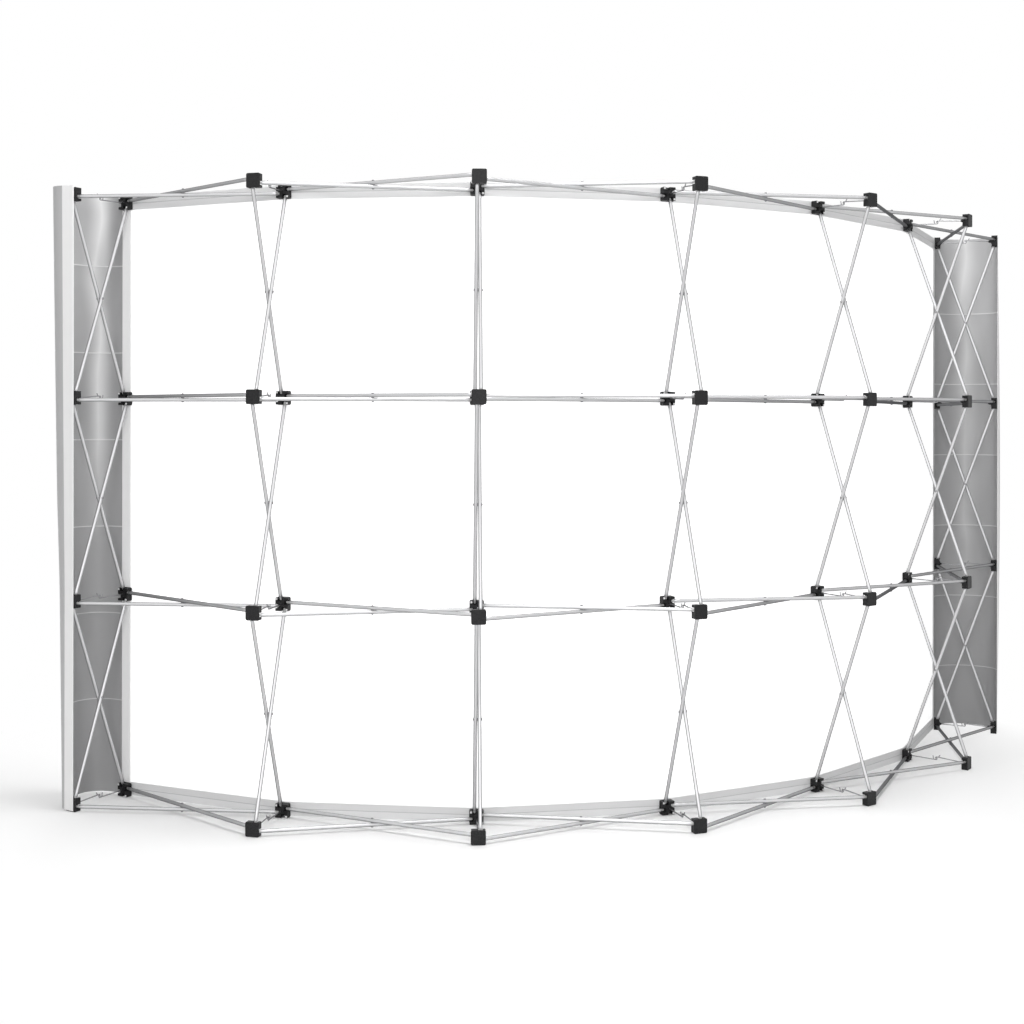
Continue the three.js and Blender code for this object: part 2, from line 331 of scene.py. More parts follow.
class Nodes:
    """Short ways to add and link nodes in a tree."""

    def __init__(self, tree):
        self.tree = tree

    def add(self, kind, **settings):
        """Adds a node and sets its properties."""
        node = self.tree.nodes.new(kind)
        for key, value in settings.items():
            setattr(node, key, value)
        return node

    def link(self, source, target):
        """Joins an output to an input."""
        self.tree.links.new(source, target)

    def feed(self, socket, value):
        """Links a socket, or sets it to a plain value."""
        if isinstance(value, bpy.types.NodeSocket):
            self.link(value, socket)
        else:
            socket.default_value = value

    def maths(self, operation, first, second=0.0, third=0.0):
        """The result of an arithmetic node."""
        node = self.add("ShaderNodeMath", operation=operation)
        for socket, value in zip(node.inputs, (first, second, third)):
            self.feed(socket, value)
        return node.outputs[0]

    def between(self, value, low, high, out_low=0.0, out_high=1.0):
        """A value carried from one range to another and held inside it."""
        node = self.add("ShaderNodeMapRange", clamp=True)
        for socket, item in zip(node.inputs, (value, low, high, out_low, out_high)):
            self.feed(socket, item)
        return node.outputs[0]

    def blend(self, amount, first, second):
        """A colour between two colours."""
        node = self.add("ShaderNodeMix", data_type="RGBA")
        self.feed(node.inputs[0], amount)
        self.feed(node.inputs[6], first)
        self.feed(node.inputs[7], second)
        return node.outputs[2]

    def noise(self, vector, scale, detail=2.0, rough=0.5):
        """Noise from nought to one."""
        node = self.add("ShaderNodeTexNoise")
        self.link(vector, node.inputs["Vector"])
        node.inputs["Scale"].default_value = scale
        node.inputs["Detail"].default_value = detail
        node.inputs["Roughness"].default_value = rough
        return node.outputs["Fac"]

    def stretched(self, vector, scale):
        """Coordinates scaled along each axis."""
        node = self.add("ShaderNodeMapping")
        self.link(vector, node.inputs["Vector"])
        node.inputs["Scale"].default_value = scale
        return node.outputs["Vector"]

    def bump(self, height, strength, distance):
        """A normal tilted by a height."""
        node = self.add("ShaderNodeBump")
        node.inputs["Strength"].default_value = strength
        node.inputs["Distance"].default_value = distance
        self.link(height, node.inputs["Height"])
        return node.outputs["Normal"]


def grey(value):
    """A grey as a solid colour."""
    return (value, value, value, 1)


def weave_group():
    """A fine knitted textile: a height made of two crossed rows of loops and a slow unevenness."""
    group = socket_group("knit", [("Vector", "NodeSocketVector"), ("Count", "NodeSocketFloat")],
                         [("Height", "NodeSocketFloat"), ("Shade", "NodeSocketFloat")])
    n = Nodes(group)
    entry, leave = n.add("NodeGroupInput"), n.add("NodeGroupOutput")
    split = n.add("ShaderNodeSeparateXYZ")
    n.link(entry.outputs["Vector"], split.inputs[0])
    waves = []
    for axis in (0, 1):
        turns = n.maths("MULTIPLY", split.outputs[axis], entry.outputs["Count"])
        waves.append(n.maths("ABSOLUTE", n.maths("SINE", turns)))
    loops = n.maths("MULTIPLY", waves[0], waves[1])
    slow = n.noise(entry.outputs["Vector"], 5.0, 3.0)
    n.link(n.maths("MULTIPLY_ADD", slow, 0.2, loops), leave.inputs["Height"])
    n.link(n.maths("MULTIPLY_ADD", loops, 0.25, n.maths("MULTIPLY", slow, 0.75)), leave.inputs["Shade"])
    return group


def wear_group():
    """Handling marks: a fine grain, a small mottle, long faint scratches and soft cloudy patches."""
    group = socket_group("wear", [("Vector", "NodeSocketVector")],
                         [("Grain", "NodeSocketFloat"), ("Mottle", "NodeSocketFloat"),
                          ("Scratch", "NodeSocketFloat"), ("Cloud", "NodeSocketFloat")])
    n = Nodes(group)
    entry, leave = n.add("NodeGroupInput"), n.add("NodeGroupOutput")
    vector = entry.outputs["Vector"]
    n.link(n.noise(vector, 900.0, 2.0), leave.inputs["Grain"])
    n.link(n.noise(vector, 260.0, 2.0), leave.inputs["Mottle"])
    streaks = n.noise(n.stretched(vector, (40.0, 40.0, 400.0)), 3.0, 4.0, 0.7)
    n.link(n.between(streaks, 0.62, 0.72), leave.inputs["Scratch"])
    n.link(n.noise(vector, 14.0, 3.0), leave.inputs["Cloud"])
    return group


KNIT = weave_group()
WEAR = wear_group()


def new_material(name):
    """A material with its shader, and the object coordinates feeding the shared wear group."""
    material = bpy.data.materials.new(name)
    material.use_nodes = True
    tree = material.node_tree
    n = Nodes(tree)
    shader = tree.nodes["Principled BSDF"]
    where = n.add("ShaderNodeTexCoord")
    marks = n.add("ShaderNodeGroup", node_tree=WEAR)
    n.link(where.outputs["Object"], marks.inputs["Vector"])
    return material, n, shader, marks.outputs


def metal(name, light, dark, rough):
    """Anodised or plated metal, faintly scuffed, with painted shade: its colour turns darker toward the edges
    turned away from the view, in place of dark reflections.
    """
    material, n, shader, marks = new_material(name)
    # Painted shade: the colour is blended toward the dark one at edges turned away from the view, standing in
    # for dark reflections.
    painted_shade_weight = n.add("ShaderNodeLayerWeight")
    painted_shade_weight.inputs["Blend"].default_value = 0.6
    edge = n.maths("POWER", painted_shade_weight.outputs["Facing"], 1.5)
    tone = n.blend(edge, (*light, 1), (*dark, 1))
    tone = n.blend(n.maths("MULTIPLY", marks["Scratch"], 0.18), tone, (*dark, 1))
    n.link(tone, shader.inputs["Base Color"])
    shader.inputs["Metallic"].default_value = 0.6
    shader.inputs["Specular Tint"].default_value = (0.32, 0.32, 0.34, 1)
    n.link(n.maths("MULTIPLY_ADD", marks["Cloud"], 0.12, rough), shader.inputs["Roughness"])
    n.link(n.bump(marks["Grain"], 0.08, 0.0002), shader.inputs["Normal"])
    return material


def plastic(name, light, dark, rough):
    """Moulded plastic with a fine spark-eroded grain and a slight mottle."""
    material, n, shader, marks = new_material(name)
    tone = n.blend(n.between(marks["Mottle"], 0.36, 0.64), (*dark, 1), (*light, 1))
    n.link(tone, shader.inputs["Base Color"])
    n.link(n.maths("MULTIPLY_ADD", marks["Grain"], 0.18, rough), shader.inputs["Roughness"])
    n.link(n.bump(marks["Grain"], 0.25, 0.0004), shader.inputs["Normal"])
    shader.inputs["Specular IOR Level"].default_value = 0.28
    return material


# The second colour of each metal is its painted edge shade, which its scratches also take.
TUBE = metal("tube_metal", (0.68, 0.68, 0.69), (0.02, 0.021, 0.022), 0.36)
WIRE = metal("lock_metal", (0.36, 0.36, 0.37), (0.03, 0.03, 0.032), 0.30)
HUB_BLACK = plastic("hub_plastic", (0.020, 0.020, 0.021), (0.008, 0.008, 0.009), 0.44)
BLOCK_BLACK = plastic("hub_block_plastic", (0.013, 0.013, 0.014), (0.008, 0.008, 0.009), 0.5)
TIP_WHITE = plastic("tip_plastic", (0.86, 0.86, 0.86), (0.78, 0.78, 0.78), 0.38)


# ---------------------------------------------------------------- tubes and rivets

def tube(shape, start, end):
    """A tube with a chamfered mouth at each end and a white plug whose tongue holds the pivot pin."""
    length = float(np.linalg.norm(end - start))
    r = TUBE_RADIUS
    mouth = 0.0075
    tongue = [(-0.0045, 0.0016), (-0.0038, 0.0034), (-0.002, 0.0043), (0.0062, 0.0044), (0.0068, 0.0056)]
    near = tongue + [(mouth, 0.0058), (mouth + 0.0004, r - 0.0003), (mouth + 0.0010, r), (mouth + 0.02, r)]
    profile = near + [(length / 2, r)] + [(length - d, q) for d, q in reversed(near)]
    plug = [WHITE] * len(tongue)
    numbers = plug + [OWN] * (len(profile) - 1 - 2 * len(plug)) + plug
    shape.loft(turned(start, end, profile, 18), numbers)


def crossing(a0, a1, b0, b1):
    """The middle of the gap where two crossed tubes pass, and the direction across it.

    The direction is square to both tubes, and the gap is the offset between them along it.
    """
    run_a, run_b, gap = a1 - a0, b1 - b0, b0 - a0
    normal = np.cross(run_a, run_b)
    share = np.cross(gap, run_b) @ normal / (normal @ normal)
    along = normal / np.linalg.norm(normal)
    return a0 + run_a * share + along * (gap @ along) / 2, along


def rivet(shape, centre, along):
    """A rivet through two tubes: domed head, shank, washer in the gap between them, and tail."""
    h = RIVET_HALF
    outline = [(-h, 0.0016), (-h + 0.0006, 0.0032), (-h + 0.0016, 0.0042), (-h + 0.0026, 0.0044),
               (-h + 0.0030, 0.0030), (-0.0013, 0.0030), (-0.0009, 0.0052), (0.0009, 0.0052),
               (0.0013, 0.0030), (h - 0.0030, 0.0030), (h - 0.0026, 0.0046), (h - 0.0014, 0.0044),
               (h - 0.0004, 0.0028), (h, 0.0012)]
    shape.loft(turned(centre, centre + along, outline, 14), BRIGHT)


def crossed(shape, a0, a1, b0, b1):
    """Two crossed tubes and their rivet."""
    tube(shape, a0, a1)
    tube(shape, b0, b1)
    rivet(shape, *crossing(a0, a1, b0, b1))


# ---------------------------------------------------------------- hubs

def hub_block_outline(side):
    """The slotted block's outline: a square with one slot in each edge, set off centre like a pinwheel."""
    b, f, w, c = 0.0238, 0.0103, 0.0073, TUBE_OFFSET * side
    return np.array([
        [b, b], [-c + w, b], [-c + w, f], [-c - w, f], [-c - w, b],
        [-b, b], [-b, -c + w], [-f, -c + w], [-f, -c - w], [-b, -c - w],
        [-b, -b], [c - w, -b], [c - w, -f], [c + w, -f], [c + w, -b],
        [b, -b], [b, c - w], [f, c - w], [f, c + w], [b, c + w],
    ])


def hub(shape, column, row, side):
    """One hub: cover plate with a raised rim, slotted block, boss, pins across the slots and two plugs."""
    put = hub_placer(shape, column, row, side)
    outer, back = side * HUB_HALF_DEPTH, side * (HUB_HALF_DEPTH - PLATE_DEPTH)
    face = [(back, 0.0007), (back + side * 0.0005, 0.0001), (outer - side * 0.0014, 0.0),
            (outer - side * 0.0005, 0.0004), (outer, 0.0012), (outer, 0.0024),
            (outer - side * 0.0003, 0.0029)]
    put(layered(filleted(square(HUB), PLATE_CORNER, 7), face), OWN, smooth=False)
    body = filleted(hub_block_outline(side), 0.0014)
    put(moulded(body, back - side * 0.0003, -side * OPEN_FACE, 0.0007), BLOCK, smooth=False)
    boss = filleted(square(0.017), 0.002, 4)
    put(moulded(boss, -side * (OPEN_FACE - 0.0001), -side * 0.0134, 0.0005), BLOCK, smooth=False)
    for direction in (1, -1):
        level = np.array([PIVOT * direction, 0, TUBE_OFFSET * side * direction])
        upright = np.array([-TUBE_OFFSET * side * direction, 0, PIVOT * direction])
        for centre, along in ((level, np.array([0, 0, 1.0])), (upright, np.array([1.0, 0, 0]))):
            pin = turned(centre - along * PIN_REACH, centre + along * PIN_REACH,
                         [(0, PIN_RADIUS), (2 * PIN_REACH, PIN_RADIUS)], 8)
            put(pin, BRIGHT)
    for corner in (1, -1):
        plug = filleted(square(PLUG), 0.0012) + corner * PLUG_PLACE * np.array([-side, 1])
        put(moulded(plug, -side * (OPEN_FACE - 0.0002), -side * 0.0132, 0.0004), WHITE, smooth=False)


def fastening_pad(shape, column, row, side):
    """The hook and loop pad on a hub's cover plate, nearly as deep as the gap to the sheet that it holds."""
    gap = PANEL_GAP if column in (1, COLUMNS) else GRAPHIC_REACH - HUB_HALF_DEPTH - HEM_SWELL
    put = hub_placer(shape, column, row, side)
    sunk, proud = side * (HUB_HALF_DEPTH - 0.0008), side * (HUB_HALF_DEPTH + gap - PAD_CLEARANCE)
    put(moulded(filleted(square(PAD), 0.003, 4), sunk, proud, 0.0003), WHITE, smooth=False)


# ---------------------------------------------------------------- locks

def lock_ears(shape, column, row):
    """The two rounded ears on a back hub and the pin between them."""
    put = hub_placer(shape, column, row, 1)
    profile = filleted([[-0.0118, -0.005], [-0.0118, 0.005], [-0.0205, 0.005], [-0.024, 0.0025],
                        [-0.024, -0.0025], [-0.0205, -0.005]], 0.002, 3)
    for low, high in ((0.0032, 0.0061), (-0.0061, -0.0032)):
        rings = []
        for x, inward in ((low, 0.0005), (low + 0.0004, 0), (high - 0.0004, 0), (high, 0.0005)):
            flat = inset(profile[::-1], inward)
            rings.append(np.stack([np.full(len(flat), x), flat[:, 0], flat[:, 1]], axis=-1))
        put(rings, BLOCK, smooth=False)
    centre, half = np.array([0, -LOCK_PIVOT, 0]), np.array([0.0061, 0, 0])
    pin = [(0, 0.0008), (0.0002, 0.0015), (0.0120, 0.0015), (0.0122, 0.0008)]
    put(turned(centre - half, centre + half, pin, 10), BRIGHT)


def lock_catch(shape, column, row):
    """The fixed half of a lock: a socket on the front hub, a rod, a tooth at its end and a finger tab."""
    put = hub_placer(shape, column, row, -1)
    middle = DEPTH / 2
    socket = [(0, 0.0044), (0.0012, 0.0050), (0.0070, 0.0042), (0.0078, 0.0030)]
    put(turned((0, 0.0118, 0), (0, 1, 0), socket, 14), BLOCK)
    rod = rounded([(0, 0.0125, 0), (0, 0.050, -0.0010), (0, middle + 0.0018, -0.0032),
                   (0, middle + 0.0024, 0.0050)], 0.004)
    put(wire(rod, ROD_RADIUS, 12), BRIGHT)
    tab = rounded([(0, middle - 0.0115, -0.0025), (0, middle - 0.0122, 0.003),
                   (0, middle - 0.0140, 0.0112)], 0.003, 4)
    put(wire(tab, TAB_RADIUS), BRIGHT)


def lock_arm(column, row):
    """The moving half of a lock: a knuckle between the ears, a rod with a hook, and a finger tab."""
    rod_finish, knuckle_finish = 0, 1
    shape = Shape()
    put = hub_placer(shape, column, row, 1)
    middle = -DEPTH / 2
    centre, half = np.array([0, -LOCK_PIVOT, 0]), np.array([0.0025, 0, 0])
    knuckle = [(0, 0.0020), (0.0001, 0.0038), (0.0006, 0.0043), (0.0044, 0.0043), (0.0049, 0.0038),
               (0.0050, 0.0020)]
    put(turned(centre - half, centre + half, knuckle, 18), knuckle_finish)
    rod = rounded([(0, -LOCK_PIVOT - 0.003, 0.0004), (0, -0.045, 0.0022), (0, middle + 0.010, 0.0075),
                   (0, middle - 0.0023, 0.0076), (0, middle - 0.0025, 0.0022)], 0.004)
    put(wire(rod, ROD_RADIUS, 12), rod_finish)
    tab = rounded([(0, middle + 0.0100, 0.0080), (0, middle + 0.0115, 0.0125),
                   (0, middle + 0.0148, 0.0168)], 0.003, 4)
    put(wire(tab, TAB_RADIUS), rod_finish)
    name = f"lock_arm_{column}_{ROWS[row]}"
    return shape.make(f"hooked_{name}", name, [WIRE, HUB_BLACK], [name])


# ---------------------------------------------------------------- frame pieces

def row_half(row, hubs, bays, half):
    """The hubs, fittings and level tubes of one half of a row."""
    node = f"{ROWS[row]}_row_{half}"
    blocks = Shape()
    for column in hubs:
        for side in (1, -1):
            hub(blocks, column, row, side)
            if side < 0 or column in (1, COLUMNS):
                fastening_pad(blocks, column, row, side)
        lock_ears(blocks, column, row)
        lock_catch(blocks, column, row)
    blocks.make(f"{node}_hubs", "frame", [HUB_BLACK, TIP_WHITE, WIRE, BLOCK_BLACK], [node])
    tubes = Shape()
    for column in bays:
        crossed(tubes, level_pivot(column, row, 1, 1), level_pivot(column + 1, row, -1, -1),
                level_pivot(column, row, -1, 1), level_pivot(column + 1, row, 1, -1))
    tubes.make(f"{node}_tubes", "frame", [TUBE, TIP_WHITE, WIRE], [node])


def upright_cross(column, tier):
    """The two tubes and rivet between a pair of hubs and the pair above it."""
    node = f"upright_cross_{column}_{TIERS[tier]}"
    shape = Shape()
    crossed(shape, upright_pivot(column, tier, 1, 1), upright_pivot(column, tier + 1, -1, -1),
            upright_pivot(column, tier, -1, 1), upright_pivot(column, tier + 1, 1, -1))
    shape.make(f"{node}_tubes", "frame", [TUBE, TIP_WHITE, WIRE], [node])


for row in range(len(ROWS)):
    row_half(row, (1, 2, 3, 4), (1, 2, 3), "left")
    row_half(row, (5, 6, 7), (4, 5, 6), "right")
    for column in range(1, COLUMNS + 1):
        lock_arm(column, row)
for tier in range(len(TIERS)):
    for column in range(1, COLUMNS + 1):
        upright_cross(column, tier)


# ---------------------------------------------------------------- sheets

def plan_line(column, radius, spots):
    """Plan points given in a column's frame, moved to the row frame."""
    spots = np.asarray(spots, float)
    level = np.concatenate([spots, np.zeros((len(spots), 1))], axis=1)
    return place(column, radius, 0.0, level)[:, :2]


def spaced(line, step):
    """A line in plan cut at about equal steps, keeping its corners; also the distance run at each point."""
    points, strides = [line[:1]], [np.zeros(1)]
    for a, b in zip(line, line[1:]):
        length = np.linalg.norm(b - a)
        count = max(1, round(length / step))
        points.append(a + (b - a) * np.arange(1, count + 1)[:, None] / count)
        strides.append(np.full(count, length / count))
    return np.concatenate(points), np.cumsum(np.concatenate(strides))


def side_normals(points):
    """Unit normals to the right of an open line."""
    run = np.gradient(points, axis=0)
    run /= np.linalg.norm(run, axis=1)[:, None]
    return np.stack([run[:, 1], -run[:, 0]], axis=-1)


def sheet_mesh(name, lines, run, heights, thickness, ripple, body, materials, node):
    """A closed thin sheet through a plan line at each height.

    The left face follows the lines moved by the ripple; the right face is one thickness away.
    Face numbers: 0 left face, 1 right face and rim. Attributes hold the distance run along the sheet,
    the height, the distance to the nearest edge and the distance along that edge.
    """
    up = np.repeat(np.asarray(heights, float)[:, None], len(run), axis=1)
    across_run = np.repeat(np.asarray(run, float)[None], len(heights), axis=0)
    left_push, right_push = ripple(across_run, up)
    base = np.array(lines)
    out = np.array([side_normals(line) for line in lines])
    left = np.dstack([base + out * left_push[..., None], up])
    right = np.dstack([base + out * (thickness + right_push)[..., None], up])
    points = np.concatenate([left.reshape(-1, 3), right.reshape(-1, 3)])
    index = np.arange(up.size).reshape(up.shape)
    rim = np.concatenate([index[0], index[1:, -1], index[-1, -2::-1], index[-2:0:-1, 0]])
    far = rim + up.size
    right_index = index + up.size
    left_faces, right_faces = (
        np.stack([grid[:-1, :-1], grid[:-1, 1:], grid[1:, 1:], grid[1:, :-1]], axis=-1).reshape(-1, 4)
        for grid in (index, right_index)
    )
    rim_faces = np.stack([rim, np.roll(rim, -1), np.roll(far, -1), far], axis=-1)
    faces = np.concatenate([left_faces[:, [0, 3, 2, 1]], right_faces, rim_faces])
    numbers = [0] * len(left_faces) + [1] * (len(right_faces) + len(rim_faces))
    piece = new_piece(name, points.tolist(), faces.tolist(), numbers, [True] * len(faces), materials)
    side = np.minimum(across_run, run[-1] - across_run)
    level = np.minimum(up - heights[0], heights[-1] - up)
    along = np.where(side < level, up, across_run)
    fields = (("run", across_run), ("rise", up), ("edge", np.minimum(side, level)), ("along", along))
    for label, values in fields:
        attribute = piece.data.attributes.new(label, "FLOAT", "POINT")
        attribute.data.foreach_set("value", np.tile(values.reshape(-1), 2).astype(np.float32))
    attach(piece, body)
    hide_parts(node)
    return piece


def attribute_value(n, name):
    """One of the sheet's own numbers."""
    node = n.add("ShaderNodeAttribute", attribute_name=name)
    return node.outputs["Fac"]


def sheet_vector(n):
    """The sheet's own flat coordinates: distance run, height and nothing."""
    node = n.add("ShaderNodeCombineXYZ")
    n.link(attribute_value(n, "run"), node.inputs[0])
    n.link(attribute_value(n, "rise"), node.inputs[1])
    return node.outputs[0]


def seen(n):
    """One where the camera looks, straight or by way of a shiny surface, and nought for other light."""
    ray = n.add("ShaderNodeLightPath")
    return n.maths("MAXIMUM", ray.outputs["Is Camera Ray"], ray.outputs["Is Glossy Ray"])


def stitches(n, edge, along, offset, pitch, width):
    """A broken line of stitches at a set distance from the edge, as a value from 0 to 1."""
    away = n.maths("ABSOLUTE", n.maths("SUBTRACT", edge, offset))
    line = n.between(away, width * 0.5, width, 1.0, 0.0)
    turns = n.maths("FRACT", n.maths("DIVIDE", along, pitch))
    dash = n.between(n.maths("ABSOLUTE", n.maths("SUBTRACT", turns, 0.5)), 0.32, 0.42, 1.0, 0.0)
    return n.maths("MULTIPLY", line, n.maths("MULTIPLY_ADD", dash, 0.65, 0.35))


def textile(name, body, hem, seam, glow, hem_painted_glow):
    """Stretched knitted polyester with a doubled hem, a stitched line along its middle and a fine knit.

    A painted glow, which only the camera and shiny surfaces see, stands in for light through the single
    layer; the doubled hem gets less of it.
    """
    material, n, shader, _ = new_material(name)
    edge, along = attribute_value(n, "edge"), attribute_value(n, "along")
    knit = n.add("ShaderNodeGroup", node_tree=KNIT)
    n.link(sheet_vector(n), knit.inputs["Vector"])
    knit.inputs["Count"].default_value = 2200.0
    doubled = n.between(edge, HEM - 0.001, HEM + 0.001, 1.0, 0.0)
    sewn = stitches(n, edge, along, HEM / 2, 0.004, 0.0016)
    tone = n.blend(doubled, (*body, 1), (*hem, 1))
    tone = n.blend(n.maths("MULTIPLY", knit.outputs["Shade"], 0.08), tone, grey(0.6))
    tone = n.blend(n.maths("MULTIPLY", sewn, 0.75), tone, (*seam, 1))
    n.link(tone, shader.inputs["Base Color"])
    shader.inputs["Roughness"].default_value = 0.85
    shader.inputs["Sheen Weight"].default_value = 0.15
    height = n.maths("MULTIPLY_ADD", sewn, -2.0, knit.outputs["Height"])
    n.link(n.bump(height, 0.35, 0.0004), shader.inputs["Normal"])
    # Painted glow: emission that only the camera and shiny surfaces see, in place of light through the cloth.
    light = n.blend(doubled, grey(glow), grey(hem_painted_glow))
    n.link(n.blend(seen(n), grey(0.0), light), shader.inputs["Emission Color"])
    shader.inputs["Emission Strength"].default_value = 1.0
    return material


def laminate(name, face, hem, glow, rough, painted_highlight, creases=()):
    """Bent panel skin: pale edge strips, a soft upright painted highlight, faint grain and thin level fold
    lines.

    The painted highlight is (distance run to its middle, half width, lowest height, strength) and wanders a
    little with height; glow is a painted glow in the edge strips, which only the camera and shiny surfaces
    see.
    """
    material, n, shader, marks = new_material(name)
    rise, run = attribute_value(n, "rise"), attribute_value(n, "run")
    edge = n.maths("MINIMUM", run, n.maths("SUBTRACT", PANEL_WIDTH, run))
    strip = n.between(edge, PANEL_STRIP - 0.0006, PANEL_STRIP + 0.0006, 1.0, 0.0)
    # Painted highlight: a soft upright band of paler colour across the run, in place of a reflection of the
    # lamps.
    middle, half, low, strength = painted_highlight
    sway = n.noise(n.stretched(sheet_vector(n), (0.0, 1.0, 0.0)), 2.2, 1.0)
    middle = n.maths("MULTIPLY_ADD", n.maths("SUBTRACT", sway, 0.5), 0.12, middle)
    away = n.maths("ABSOLUTE", n.maths("SUBTRACT", run, middle))
    highlight_paint = n.maths("POWER", n.between(away, 0.0, half, 1.0, 0.0), 1.8)
    highlight_paint = n.maths("MULTIPLY", highlight_paint, n.between(rise, low, low + 0.5, 0.0, strength))
    tone = n.blend(highlight_paint, (*face, 1), grey(0.95))
    tone = n.blend(n.maths("MULTIPLY", marks["Cloud"], 0.06), tone, (*(v * 0.5 for v in face), 1))
    height = n.maths("MULTIPLY", marks["Grain"], 0.3)
    for level in creases:
        off = n.maths("ABSOLUTE", n.maths("SUBTRACT", rise, level))
        fold = n.between(off, 0.0006, 0.0030, 1.0, 0.0)
        tone = n.blend(n.maths("MULTIPLY", fold, 0.55), tone, grey(0.95))
        height = n.maths("MULTIPLY_ADD", fold, 1.5, height)
    tone = n.blend(strip, tone, (*hem, 1))
    n.link(tone, shader.inputs["Base Color"])
    n.link(n.maths("MULTIPLY_ADD", marks["Grain"], 0.1, rough), shader.inputs["Roughness"])
    n.link(n.bump(height, 0.3, 0.0006), shader.inputs["Normal"])
    # Painted glow in the edge strips, which only the camera and shiny surfaces see.
    light = n.blend(strip, grey(0.0), grey(glow))
    n.link(n.blend(seen(n), grey(0.0), light), shader.inputs["Emission Color"])
    shader.inputs["Emission Strength"].default_value = 1.0
    return material


def graphic_heights():
    """Heights of the graphic's rows of points, closer together in the hems."""
    top = row_height(len(ROWS) - 1) + HUB / 2
    steps = np.array([0, 0.001, 0.003, 0.024, 0.025, 0.026, 0.047, 0.049, 0.051, 0.06])
    low, high = GRAPHIC_BOTTOM + steps, top - steps
    return np.sort(np.concatenate([low, np.linspace(low[-1], high[-1], 60)[1:-1], high]))


def front_graphic():
    """The stretched graphic: flat from column to column, hemmed all round, overhanging each end a little."""
    spots = [(1, -GRAPHIC_OVERHANG), *((column, 0.0) for column in range(1, COLUMNS + 1)),
             (COLUMNS, GRAPHIC_OVERHANG)]
    corners = [plan_line(column, FRONT_RADIUS, [(x, -GRAPHIC_REACH)]) for column, x in spots]
    points, run = spaced(np.concatenate(corners), GRAPHIC_STEP)
    total = run[-1]
    heights = graphic_heights()

    def ripple(u, z):
        """Both faces swell in the hem along every edge, and dip at the seam along the hem's middle."""
        edge = np.minimum(np.minimum(u, total - u), np.minimum(z - heights[0], heights[-1] - z))
        hem = HEM_SWELL * np.clip((HEM + 0.001 - edge) / 0.002, 0, 1)
        seam = SEAM_DIP * np.clip(1 - np.abs(edge - HEM / 2) / SEAM_HALF, 0, 1)
        return seam - hem, hem - seam

    piece = sheet_mesh("stretched_front_graphic", [points] * len(heights), run, heights, GRAPHIC_THICKNESS,
                       ripple, "front_graphic", [BACK_TEXTILE, FRONT_TEXTILE], "front_graphic")
    return piece, total, heights[-1] - heights[0]


# The last two numbers of each textile are its painted glow in the body and in the hem.
BACK_TEXTILE = textile("textile_back", (0.93, 0.93, 0.93), (0.84, 0.84, 0.845), (0.42, 0.42, 0.43), 0.70,
                       0.07)
FRONT_TEXTILE = textile("textile_front", (0.93, 0.93, 0.93), (0.89, 0.89, 0.89), (0.55, 0.55, 0.56), 0.12,
                        0.06)

graphic, graphic_width, graphic_height = front_graphic()


def line_run(line):
    """Distance run along a line at each of its points."""
    return np.concatenate([[0.0], np.cumsum(np.linalg.norm(np.diff(line, axis=0), axis=1))])


def panel_places(lean, run, reach, steps):
    """An end panel's outer face at one height: back hem, turn round the end, front hem.

    The turn is the sum of four points weighted by the cubic terms of (1 - u) and u: the end of the back
    hem, the same moved on along that hem by the run, the end of the front hem moved out by the reach,
    and the end of the front hem.
    """
    back = HUB_HALF_DEPTH + PANEL_GAP + PANEL_THICKNESS
    front = -DEPTH - back
    first, last = np.array([PANEL_HEM[1], back + lean]), np.array([PANEL_HEM[1], front])
    leaving = np.array([PANEL_HEM[1] - PANEL_HEM[0], lean])
    second = first + leaving / np.linalg.norm(leaving) * run
    third = last + np.array([reach, 0.0])
    u = np.linspace(0, 1, steps + 1)[:, None]
    turn = (1 - u) ** 3 * first + 3 * u * (1 - u) ** 2 * second + 3 * u ** 2 * (1 - u) * third + u ** 3 * last
    share = np.linspace(0, 1, 9)[:, None]
    hem = np.array([PANEL_HEM[0], back]) * (1 - share) + first * share
    far_hem = last * (1 - share) + np.array([PANEL_HEM[0], front]) * share
    return np.concatenate([hem[:-1], turn, far_hem[1:]])


def panel_full(lean, run):
    """The same with the reach, found by halving, that uses up the sheet's width, cut at equal steps."""
    low, high = REACH_LEAST, REACH_MOST
    for _ in range(REACH_HALVINGS):
        reach = (low + high) / 2
        if line_run(panel_places(lean, run, reach, PANEL_STEPS_COARSE))[-1] < PANEL_WIDTH:
            low = reach
        else:
            high = reach
    line = panel_places(lean, run, low, PANEL_STEPS_FINE)
    at = line_run(line)
    even = np.linspace(0, at[-1], PANEL_STEPS + 1)
    return np.stack([np.interp(even, at, line[:, 0]), np.interp(even, at, line[:, 1])], axis=-1)


def panel_at(end, height):
    """How an end panel hangs at a height, as in the CAD part."""
    if end < 0:
        share = (height - PANEL_BOTTOM) / (PANEL_TOP - PANEL_BOTTOM)
        return panel_full(LEFT_LEAN * math.sin(math.pi * share), LEFT_RUN)
    lean = RIGHT_LEAN * max(0.0, (height - RIGHT_LEAN_FROM) / (PANEL_TOP - RIGHT_LEAN_FROM))
    run = RIGHT_RUN_LOW + (RIGHT_RUN_HIGH - RIGHT_RUN_LOW) * min(1.0, height / RIGHT_RUN_TO)
    return panel_full(lean, run)


